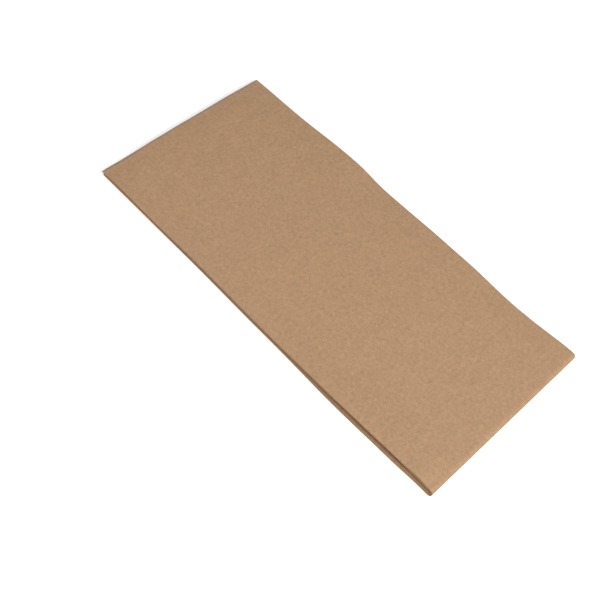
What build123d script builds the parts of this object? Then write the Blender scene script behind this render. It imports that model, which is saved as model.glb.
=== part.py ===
from build123d import *
import os
from math import pi

# A folded paper dinner napkin, lying flat.  Units are millimetres.
#
# One sheet of brown tissue is folded in half across its width, in half again, and then in
# half along its length, which gives eight layers.  Its four panels across the width are
# called outer, inner, middle and last, in the order in which they follow each other.
#
# X runs along the folded napkin, with the last, cross fold at +X and the open end at -X.
# Y runs across it, with the closed long fold at +Y and the raw edges at -Y.  Z is up, and
# the origin is the centre of the napkin's underside.

# The flat sheet
sheet_width = 381.0       # across the four panels
sheet_length = 406.4      # along the two halves
sheet_thickness = 0.22    # both plies together, uncompressed

# How it is folded
layer_gap = 0.27          # air between two layers
nose_setback = 1.5        # the first fold's nose lies this far inside the top raw edge
raw_edge_step = 0.3       # the under raw edge lies this far inside the top one
end_creep = 0.9           # the innermost layer stands out this far at the open end

# The stack: heights of the upper four layers' middles above the plane that parts the halves
pitch = sheet_thickness + layer_gap
half_sheet = sheet_thickness / 2
inner_height = 0.5 * pitch
middle_height = 1.5 * pitch
last_height = 2.5 * pitch
outer_height = 3.5 * pitch
half_stack = outer_height + half_sheet

# Radii of the folds, at the middle of the sheet
nose_radius = (middle_height - inner_height) / 2
inside_fold_radius = (last_height - middle_height) / 2
outside_fold_radius = (outer_height - inner_height) / 2
long_fold_height = (outer_height + inner_height) / 2

# Across the width, the straight runs and the three folds' arcs use up the sheet
fold_arcs = pi * (nose_radius + inside_fold_radius + outside_fold_radius)
nose_reach = nose_setback + nose_radius + half_sheet
outer_run = (sheet_width - fold_arcs + raw_edge_step + 2 * nose_reach) / 4
folded_width = outer_run + outside_fold_radius + half_sheet
raw_edge_y = -folded_width / 2
nose_y = raw_edge_y + nose_reach
long_fold_y = raw_edge_y + outer_run

# Along the length, the cross fold's arc is counted at the middle of the upper four layers
mean_run = (sheet_length - pi * long_fold_height) / 2
longest_run = mean_run + end_creep / 2
folded_length = longest_run + half_stack
open_end_x = -folded_length / 2
cross_fold_x = open_end_x + longest_run

# The section lies where the cross fold starts, with its origin on the parting plane
section_plane = Plane(origin=(cross_fold_x, 0, half_stack), x_dir=(0, 1, 0), z_dir=(1, 0, 0))
parting_plane = Plane.XY.offset(half_stack)
cross_fold_axis = Axis((cross_fold_x, 0, half_stack), (0, 1, 0))

# The open end leans back by the creep, from the innermost layer to the outermost one
open_end_plane = Plane(
    origin=(open_end_x, 0, half_stack + layer_gap / 2),
    x_dir=(0, 1, 0),
    z_dir=(half_stack - layer_gap / 2, 0, -end_creep),
)

with BuildPart() as napkin:
    # The four panels of the upper half, followed from the top raw edge to the under one
    with BuildSketch(section_plane) as section:
        with BuildLine():
            Line((raw_edge_y, outer_height), (long_fold_y, outer_height))
            CenterArc((long_fold_y, long_fold_height), outside_fold_radius, 90, -180)
            Line((long_fold_y, inner_height), (nose_y, inner_height))
            CenterArc((nose_y, inner_height + nose_radius), nose_radius, -90, -180)
            Line((nose_y, middle_height), (long_fold_y, middle_height))
            CenterArc((long_fold_y, long_fold_height), inside_fold_radius, -90, 180)
            Line((long_fold_y, last_height), (raw_edge_y + raw_edge_step, last_height))
        trace(line_width=sheet_thickness)

    # The upper half runs back from the cross fold to the open end, and is cut there
    extrude(amount=-longest_run)
    split(bisect_by=open_end_plane, keep=Keep.TOP)

    # The lower half is its mirror image, and the cross fold joins the two
    mirror(about=parting_plane)
    revolve(section.sketch, axis=cross_fold_axis, revolution_arc=180)

napkin.part.label = "napkin"

os.makedirs("parts", exist_ok=True)
export_step(napkin.part, "parts/napkin.step")
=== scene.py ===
"""A folded brown paper napkin on a white table, around its CAD frame.

The napkin is one sheet, folded in half across its width, in half again, and then in half along
its length.  Its four panels across the width are called outer, inner, middle and last.  Shapes
are worked out in millimetres, in the frame of the part, and turned into metres at the end.
"""

import bpy
import math
import numpy as np
from mathutils import Matrix, Vector


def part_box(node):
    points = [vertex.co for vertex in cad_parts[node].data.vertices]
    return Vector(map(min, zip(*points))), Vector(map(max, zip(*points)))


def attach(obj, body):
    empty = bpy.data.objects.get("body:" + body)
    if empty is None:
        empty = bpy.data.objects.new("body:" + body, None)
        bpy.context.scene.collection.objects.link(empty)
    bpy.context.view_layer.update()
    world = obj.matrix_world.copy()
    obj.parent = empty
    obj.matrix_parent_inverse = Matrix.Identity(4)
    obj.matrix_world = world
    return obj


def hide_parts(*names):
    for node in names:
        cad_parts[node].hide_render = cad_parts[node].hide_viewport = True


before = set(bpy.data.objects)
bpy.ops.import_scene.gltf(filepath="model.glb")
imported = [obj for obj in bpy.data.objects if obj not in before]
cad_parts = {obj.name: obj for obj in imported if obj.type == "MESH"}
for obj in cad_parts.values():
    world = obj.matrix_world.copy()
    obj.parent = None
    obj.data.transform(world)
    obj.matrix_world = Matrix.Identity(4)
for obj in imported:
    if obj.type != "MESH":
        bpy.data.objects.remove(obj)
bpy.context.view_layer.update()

MM = 0.001

# The flat sheet, and how far its edges are offset by the folding, as in the CAD model
SHEET_WIDTH, SHEET_LENGTH = 381.0, 406.4
SHEET_THICKNESS = 0.22
NOSE_SETBACK = 1.5
RAW_EDGE_STEP = 0.3
END_CREEP = 0.9
LAYERS = 8
FOLD_SPRING = 0.35        # how far the cross fold springs out past its place in the CAD model

# How finely the sheet is divided
RUN_STEPS = 34            # across one panel
LENGTH_STEPS = 140        # along one half
FOLD_STEPS = 8            # round each fold between panels
CROSS_FOLD_STEPS = 12     # round the cross fold

# How relaxed paper differs from the evenly folded CAD model.  Each hump of the closed long fold
# has a size, a place along X and a width.
FAR_HUMPS = [(0.9, -42, 22), (0.4, -28, 10), (0.42, 30, 26), (-0.35, 66, 12), (0.6, 100, 14)]
HUMP_LIFT = 0.35          # a hump's lift off the table
HUMP_BULGE = 0.7          # a hump's outward shift
HUMP_LOOSENESS = 0.45     # a hump's extra air
FAR_PRESSURE = 0.2        # air missing along the closed long fold
BASE_LOOSENESS = 0.88     # share of the CAD model's air, before the fields below
LEAST_LOOSENESS = 0.4
PUFFED_MIDDLE = 0.6
PRESSED_CORNER = 0.75     # at the near left
SPRUNG_CORNER = 0.25      # at the near right, where all the folds meet
SPRUNG_FOLD = 0.12        # beside the cross fold
EDGE_WANDER = 0.12        # of a raw edge, sideways
UPPER_GAP, UPPER_GAP_GROWTH = 0.1, 0.7      # between nose and raw edges, and towards the cross fold
LOWER_GAP, LOWER_GAP_GROWTH = 0.1, 0.3

# The folded napkin's box, and the places of its folds in it
box_high = Vector(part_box("napkin")[1]) / MM
half_length, half_width = box_high.x, box_high.y
half_stack = box_high.z / 2
pitch = (box_high.z - SHEET_THICKNESS) / (LAYERS - 1)
half_sheet = SHEET_THICKNESS / 2
PANELS_UPWARDS = ("inner", "middle", "last", "outer")
panel_heights = {panel: (layer + 0.5) * pitch for layer, panel in enumerate(PANELS_UPWARDS)}
long_fold_y = half_width - 1.5 * pitch - half_sheet
nose_y = -half_width + NOSE_SETBACK + 0.5 * pitch + half_sheet
cross_fold_x = half_length - half_stack + FOLD_SPRING


# ---------------------------------------------------------------- soft fields over the napkin

def ramp(value, start, end):
    """0 before start, 1 after end, and a smooth step between them."""
    t = np.clip((value - start) / (end - start), 0, 1)
    return t * t * (3 - 2 * t)


def bump(value, centre, width):
    """A smooth hump of height 1."""
    return np.exp(-((value - centre) / width) ** 2)


def waves(x, y, length, seed):
    """Gentle random waves of about that length, between about -1 and 1."""
    draw = np.random.RandomState(seed)
    total = 0
    for _ in range(7):
        angle = draw.uniform(0, 2 * math.pi)
        phase = draw.uniform(0, 2 * math.pi)
        k = 2 * math.pi / (length * draw.uniform(0.75, 1.4))
        total = total + np.sin(k * (x * math.cos(angle) + y * math.sin(angle)) + phase)
    return total / 3


def far_edge_wave(x):
    """How much the closed long fold bulges along its length."""
    return sum(size * bump(x, place, width) for size, place, width in FAR_HUMPS)


def table_lift(x, y):
    """Height of the lowest layer over the table."""
    far = half_width - y
    return HUMP_LIFT * np.maximum(far_edge_wave(x), 0) * (1 - ramp(far, 0, 16))


def looseness(x, y):
    """The air between layers, as a share of the CAD model's."""
    near, far = y + half_width, half_width - y
    left, right = x + half_length, half_length - x
    puffed = PUFFED_MIDDLE * ramp(far, -2, 24) * ramp(left, -4, 14)
    pressed = PRESSED_CORNER * (1 - ramp(near, 0, 34)) * (1 - ramp(x, -5, 85))
    sprung = SPRUNG_CORNER * (1 - ramp(near, 0, 40)) * ramp(x, 10, 85)
    sprung = sprung + SPRUNG_FOLD * bump(right, 4, 9)
    edge = (HUMP_LOOSENESS * far_edge_wave(x) - FAR_PRESSURE) * (1 - ramp(far, 0, 14))
    ripple = 0.05 * waves(x, y, 42, 3) + 0.03 * waves(x, y, 17, 5)
    total = BASE_LOOSENESS + puffed - pressed + sprung + edge + ripple
    return np.maximum(total, LEAST_LOOSENESS)


def fold_bulge(x):
    """Outward shift of the closed long fold."""
    return HUMP_BULGE * far_edge_wave(x) - 0.3 - 0.4 * ramp(x, -10, 60)


def raw_edge_shift(x, half, panel):
    """How far a raw edge lies inside its place in the CAD model."""
    right = half_length - x
    outwards = 0.7 * ramp(x, -60, 30) * ramp(right, -3, 22) + 0.6 * bump(x, 52, 26)
    shift = EDGE_WANDER * waves(x, 0 * x, 60, 11 if half > 0 else 12) - outwards
    if half < 0:
        # the lower half is tucked in under the upper one, most at the open end
        shift = shift + (0.3 + 0.3 * (1 - ramp(x, -90, 80))) * ramp(right, 0, 10)
    if panel == "last":
        shift = shift + 0.15 * waves(x, 0 * x, 35, 21)
    return shift


def nose_shift(x, half):
    """How far the first fold's nose lies outside its place in the CAD model."""
    towards_cross_fold = ramp(x, -40, 80)
    if half > 0:
        return 0.2 * towards_cross_fold - 0.3 + 0.15 * waves(x, 0 * x, 45, 31)
    return 0.9 * towards_cross_fold - 0.5 + 0.15 * waves(x, 0 * x, 45, 32)


def panel_height(panel, x, y, half):
    """Height of a panel's middle over the plane that parts the two halves, on either side."""
    near, right = y + half_width, half_length - x
    air = (pitch - SHEET_THICKNESS) * looseness(x, y)
    layer = PANELS_UPWARDS.index(panel)
    height = 0.5 * air + half_sheet + layer * (air + SHEET_THICKNESS)
    if half > 0:
        # the upper panels part from each other near their raw edges
        open_side = (1 - ramp(near, 0, 26)) * ramp(right, 1.5, 9)
        height = height + 0.12 * open_side
        if layer >= 2:
            height = height + (UPPER_GAP + UPPER_GAP_GROWTH * ramp(x, -10, 80)) * open_side
    elif layer >= 2:
        open_side = (1 - ramp(near, 0, 14)) * ramp(right, 1.5, 9)
        height = height + (LOWER_GAP + LOWER_GAP_GROWTH * ramp(x, -20, 80)) * open_side
    return height


# ---------------------------------------------------------------- the folded sheet

class Station:
    """One line of points along the sheet: on a panel's run, or round a fold between two panels."""

    def __init__(self, place, panels, share, nominal, flat):
        self.place = place        # "outer", "inner", "middle", "last", or a fold's name
        self.panels = panels      # one panel, or the upper and the lower one of a fold
        self.share = share        # 0 to 1 along the run or round the fold
        self.nominal = nominal    # height over the parting plane in the CAD model
        self.flat = flat          # distance from the raw edge of the outer panel, in the flat sheet


def run_shares():
    """Points along a run, closer together near its two ends."""
    even = np.linspace(0, 1, RUN_STEPS + 1)
    eased = 0.5 - 0.5 * np.cos(np.pi * even)
    return 0.45 * even + 0.55 * eased


def stations_across():
    """The sheet's stations, from the outer panel's raw edge to the last panel's."""
    runs = {
        "outer": long_fold_y + half_width,
        "inner": long_fold_y - nose_y,
        "middle": long_fold_y - nose_y,
        "last": long_fold_y + half_width - RAW_EDGE_STEP,
    }
    folds = {
        "outer": ("outside_fold", ("outer", "inner"), 1.5 * pitch),
        "inner": ("nose", ("middle", "inner"), 0.5 * pitch),
        "middle": ("inside_fold", ("last", "middle"), 0.5 * pitch),
    }
    stations = []
    flat = 0.0
    for panel, run in runs.items():
        for share in run_shares():
            stations.append(Station(panel, (panel,), share, panel_heights[panel], flat + share * run))
        flat += run
        if panel not in folds:
            continue
        name, pair, radius = folds[panel]
        middle = sum(panel_heights[p] for p in pair) / 2
        for step in range(1, FOLD_STEPS):
            share = step / FOLD_STEPS
            # the outside fold runs downwards, the other two upwards
            down = share if name == "outside_fold" else 1 - share
            height = middle + radius * math.cos(math.pi * down)
            stations.append(Station(name, pair, down, height, flat + share * math.pi * radius))
        flat += math.pi * radius
    return stations


def fold_line(name, x, half):
    """Where the straight runs beside a fold end."""
    if name == "nose":
        return nose_y - nose_shift(x, half)
    return long_fold_y + fold_bulge(x)


def place_station(station, x, half):
    """y and height over the parting plane of a station's points, at the places x."""
    if len(station.panels) == 1:
        panel = station.panels[0]
        far_end = fold_line("long", x, half)
        if panel in ("outer", "last"):
            step = RAW_EDGE_STEP if panel == "last" else 0
            near_end = -half_width + step + raw_edge_shift(x, half, panel)
        else:
            near_end = fold_line("nose", x, half)
        outwards = station.share if panel in ("outer", "middle") else 1 - station.share
        y = near_end + (far_end - near_end) * outwards
        return y, panel_height(panel, x, y, half)
    line = fold_line(station.place, x, half)
    top = panel_height(station.panels[0], x, line, half)
    bottom = panel_height(station.panels[1], x, line, half)
    radius = (top - bottom) / 2
    angle = math.pi * station.share
    side = -1 if station.place == "nose" else 1
    y = line + side * radius * math.sin(angle)
    return y, (top + bottom) / 2 + radius * math.cos(angle)


def parting_height(x, y):
    """Height of the plane that parts the halves: the lower half rests on the table."""
    return table_lift(x, y) + panel_height("outer", x, y, -1) + half_sheet


def end_x(station):
    """Where the open end lies: it leans back from the innermost layer to the outermost one."""
    innermost, outermost = panel_heights["inner"], panel_heights["outer"]
    share = (station.nominal - innermost) / (outermost - innermost)
    return -half_length + END_CREEP * share


def length_shares():
    """Points from the cross fold to the open end, closer together near both."""
    even = np.linspace(0, 1, LENGTH_STEPS + 1)
    eased = 0.5 - 0.5 * np.cos(np.pi * even)
    return 0.6 * even + 0.4 * eased


def station_line(station):
    """A station's points from the upper half's open end, round the cross fold, to the lower's."""
    shares = length_shares()
    run = cross_fold_x - end_x(station)
    x_run = cross_fold_x - run * shares
    halves = {}
    for half in (1, -1):
        y, height = place_station(station, x_run, half)
        z = parting_height(x_run, y) + half * height
        halves[half] = np.stack([x_run, y, z], axis=1)
    angles = np.pi * np.arange(1, CROSS_FOLD_STEPS) / CROSS_FOLD_STEPS
    start, end = halves[1][0], halves[-1][0]
    across = (1 - np.cos(angles)) / 2
    turn = start + (end - start) * across[:, None]
    turn[:, 0] = cross_fold_x + station.nominal * np.sin(angles)
    points = np.concatenate([halves[1][::-1], turn, halves[-1]])
    half_arc = math.pi * station.nominal / 2
    arc = half_arc * (2 * across - 1)
    reach = run * shares + half_arc
    flat = SHEET_LENGTH / 2 + np.concatenate([-reach[::-1], arc, reach])
    return points, flat


def folded_sheet():
    """The napkin: a surface along the middle of the sheet, with the sheet's own map, thickened."""
    stations = stations_across()
    lines = [station_line(station) for station in stations]
    rows, columns = len(lines), len(lines[0][0])
    points = np.concatenate([line for line, _ in lines]) * MM
    faces = []
    for i in range(rows - 1):
        for j in range(columns - 1):
            a = i * columns + j
            faces.append((a, a + 1, a + 1 + columns, a + columns))
    mesh = bpy.data.meshes.new("napkin_sheet")
    mesh.from_pydata(points.tolist(), [], faces)
    flat = np.array([(s.flat, v) for s, (_, line) in zip(stations, lines) for v in line]) * MM
    corners = np.empty(len(mesh.loops), dtype=np.int32)
    mesh.loops.foreach_get("vertex_index", corners)
    uv = mesh.uv_layers.new(name="sheet")
    uv.uv.foreach_set("vector", flat[corners].astype(np.float32).ravel())
    mesh.polygons.foreach_set("use_smooth", [True] * len(mesh.polygons))
    napkin = bpy.data.objects.new("napkin_sheet", mesh)
    bpy.context.scene.collection.objects.link(napkin)
    thicken = napkin.modifiers.new("thickness", "SOLIDIFY")
    thicken.thickness = SHEET_THICKNESS * MM
    thicken.offset = 0
    thicken.use_rim = True
    return napkin


# ---------------------------------------------------------------- brown paper

def node(tree, kind, **values):
    """A new node, with its properties and its inputs' values set."""
    new = tree.nodes.new(kind)
    for name, value in values.items():
        if name in new.inputs:
            new.inputs[name].default_value = value
        else:
            setattr(new, name, value)
    return new


def join(tree, operation, first, second):
    """A maths node over two sockets or numbers."""
    maths = node(tree, "ShaderNodeMath", operation=operation)
    for socket, value in zip(maths.inputs, (first, second)):
        if isinstance(value, (int, float)):
            socket.default_value = value
        else:
            tree.links.new(value, socket)
    return maths.outputs[0]


def mottle(tree, where, size, detail, stretch=1.0, angle=0.0):
    """Noise of that feature size in millimetres, from about -1 to 1, drawn out along an angle."""
    turned = node(tree, "ShaderNodeMapping", vector_type="TEXTURE")
    turned.inputs["Rotation"].default_value = (0, 0, math.radians(angle))
    turned.inputs["Scale"].default_value = (stretch, 1, 1)
    tree.links.new(where, turned.inputs["Vector"])
    noise = node(tree, "ShaderNodeTexNoise", Scale=1 / (size * MM), Detail=detail, Roughness=0.6)
    tree.links.new(turned.outputs[0], noise.inputs["Vector"])
    centred = join(tree, "SUBTRACT", noise.outputs[0], 0.5)
    return join(tree, "MULTIPLY", centred, 4.0)


def flecks(tree, where, spacing, size, share):
    """1 inside small round flecks, 0 outside; only that share of the cells holds one."""
    cells = node(tree, "ShaderNodeTexVoronoi", Scale=1 / (spacing * MM), Randomness=1.0)
    tree.links.new(where, cells.inputs["Vector"])
    inside = join(tree, "LESS_THAN", cells.outputs["Distance"], size / spacing / 2)
    split = node(tree, "ShaderNodeSeparateColor")
    tree.links.new(cells.outputs["Color"], split.inputs[0])
    chosen = join(tree, "LESS_THAN", split.outputs[0], share)
    return join(tree, "MULTIPLY", inside, chosen)


def brown_paper():
    """Unbleached tissue: matte, with clouds, fibres, grain and a few specks, on the flat sheet."""
    material = bpy.data.materials.new("brown_tissue")
    material.use_nodes = True
    tree = material.node_tree
    shader = tree.nodes["Principled BSDF"]
    shader.inputs["Roughness"].default_value = 0.95
    shader.inputs["Specular IOR Level"].default_value = 0.12
    where = node(tree, "ShaderNodeUVMap", uv_map="sheet").outputs[0]

    # each pattern's strength: clouds, mottling, fibres that lie in three directions, grain, and
    # large, small and light flecks
    patterns = [
        (0.045, mottle(tree, where, 7.0, 3)),
        (0.10, mottle(tree, where, 1.7, 2)),
        (0.07, mottle(tree, where, 0.55, 2, 5, 15)),
        (0.07, mottle(tree, where, 0.55, 2, 5, 75)),
        (0.07, mottle(tree, where, 0.55, 2, 5, 132)),
        (0.05, mottle(tree, where, 0.4, 1)),
        (-0.35, flecks(tree, where, 11, 0.6, 0.35)),
        (-0.2, flecks(tree, where, 5, 0.4, 0.35)),
        (0.18, flecks(tree, where, 13, 0.5, 0.3)),
    ]
    tone = 1.0
    for strength, pattern in patterns:
        tone = join(tree, "ADD", join(tree, "MULTIPLY", pattern, strength), tone)

    # the hue drifts a little between a warmer and a greyer brown
    hue = node(tree, "ShaderNodeMix", data_type="RGBA")
    hue.inputs["A"].default_value = (0.449, 0.276, 0.159, 1)
    hue.inputs["B"].default_value = (0.442, 0.280, 0.163, 1)
    drift = join(tree, "ADD", join(tree, "MULTIPLY", mottle(tree, where, 3.0, 1), 0.9), 0.5)
    tree.links.new(drift, hue.inputs["Factor"])
    shaded = node(tree, "ShaderNodeVectorMath", operation="SCALE")
    tree.links.new(hue.outputs["Result"], shaded.inputs[0])
    tree.links.new(tone, shaded.inputs["Scale"])
    tree.links.new(shaded.outputs[0], shader.inputs["Base Color"])

    relief = join(tree, "ADD", mottle(tree, where, 0.45, 2), mottle(tree, where, 1.6, 1, 2.5, 90))
    raised = node(tree, "ShaderNodeBump", Strength=0.5, Distance=0.03 * MM)
    tree.links.new(relief, raised.inputs["Height"])
    tree.links.new(raised.outputs[0], shader.inputs["Normal"])
    return material


# ---------------------------------------------------------------- table, light and camera

def camera_sees(tree, usual, seen, output):
    """Gives camera rays the shader seen, and all other rays the usual one."""
    path = node(tree, "ShaderNodeLightPath")
    mix = node(tree, "ShaderNodeMixShader")
    tree.links.new(path.outputs["Is Camera Ray"], mix.inputs[0])
    tree.links.new(usual.outputs[0], mix.inputs[1])
    tree.links.new(seen.outputs[0], mix.inputs[2])
    tree.links.new(mix.outputs[0], tree.nodes[output].inputs["Surface"])


def white_table():
    """A white floor that shows pure white but for the napkin's shadow."""
    bpy.ops.mesh.primitive_plane_add(size=6)
    table = bpy.context.object
    table.name = "table"
    material = bpy.data.materials.new("white_table")
    material.use_nodes = True
    tree = material.node_tree
    shader = tree.nodes["Principled BSDF"]
    shader.inputs["Base Color"].default_value = (0.86, 0.86, 0.86, 1)
    shader.inputs["Roughness"].default_value = 0.9
    shader.inputs["Specular IOR Level"].default_value = 0
    glow = node(tree, "ShaderNodeEmission", Strength=0.36)
    both = node(tree, "ShaderNodeAddShader")
    tree.links.new(shader.outputs[0], both.inputs[0])
    tree.links.new(glow.outputs[0], both.inputs[1])
    camera_sees(tree, shader, both, "Material Output")
    table.data.materials.append(material)
    return table


def direction(azimuth, elevation):
    """Unit vector towards that azimuth and elevation in radians; azimuth 0 is -Y."""
    return Vector((
        math.sin(azimuth) * math.cos(elevation),
        -math.cos(azimuth) * math.cos(elevation),
        math.sin(elevation),
    ))


def lamp(name, azimuth, elevation, distance, size, power):
    """A round lamp of that size in metres, that far from the napkin's middle and aimed at it."""
    light = bpy.data.lights.new(name, "AREA")
    light.shape = "DISK"
    light.size = size
    light.energy = power
    thing = bpy.data.objects.new(name, light)
    bpy.context.scene.collection.objects.link(thing)
    towards = direction(math.radians(azimuth), math.radians(elevation))
    thing.location = towards * distance
    thing.rotation_euler = towards.to_track_quat("Z", "Y").to_euler()


def soft_sky(strength):
    """Even light of that strength from all round, in front of a pure white background."""
    world = bpy.data.worlds.new("soft_sky")
    world.use_nodes = True
    tree = world.node_tree
    sky = tree.nodes["Background"]
    sky.inputs["Color"].default_value = (1, 1, 1, 1)
    sky.inputs["Strength"].default_value = strength
    white = node(tree, "ShaderNodeBackground", Strength=1.0)
    camera_sees(tree, sky, white, "World Output")
    bpy.context.scene.world = world


def camera():
    """Looks down on the napkin from its near right, turned a little about the line of sight."""
    azimuth, elevation, roll = math.radians(33.62), math.radians(56.65), math.radians(14.52)
    aim = Vector((4.17, -24.29, 0)) * MM
    distance = 426.4 * MM
    back = direction(azimuth, elevation)
    level = Vector((math.cos(azimuth), math.sin(azimuth), 0))
    upright = back.cross(level)
    right = level * math.cos(roll) + upright * math.sin(roll)
    up = back.cross(right)
    data = bpy.data.cameras.new("camera")
    data.sensor_width = 36
    data.lens = 59.31
    data.clip_start = 0.01
    eye = bpy.data.objects.new("camera", data)
    bpy.context.scene.collection.objects.link(eye)
    turn = Matrix((right, up, back)).transposed()
    eye.matrix_world = Matrix.Translation(aim + back * distance) @ turn.to_4x4()
    bpy.context.scene.camera = eye


napkin = folded_sheet()
napkin.data.materials.append(brown_paper())
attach(napkin, "root")
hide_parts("napkin")

table = white_table()

soft_sky(0.48)
lamp("key_light", azimuth=78, elevation=45, distance=0.9, size=0.27, power=4.4)
lamp("near_fill", azimuth=10, elevation=50, distance=1.2, size=1.2, power=3.2)
camera()

bpy.context.scene.view_settings.view_transform = "Standard"
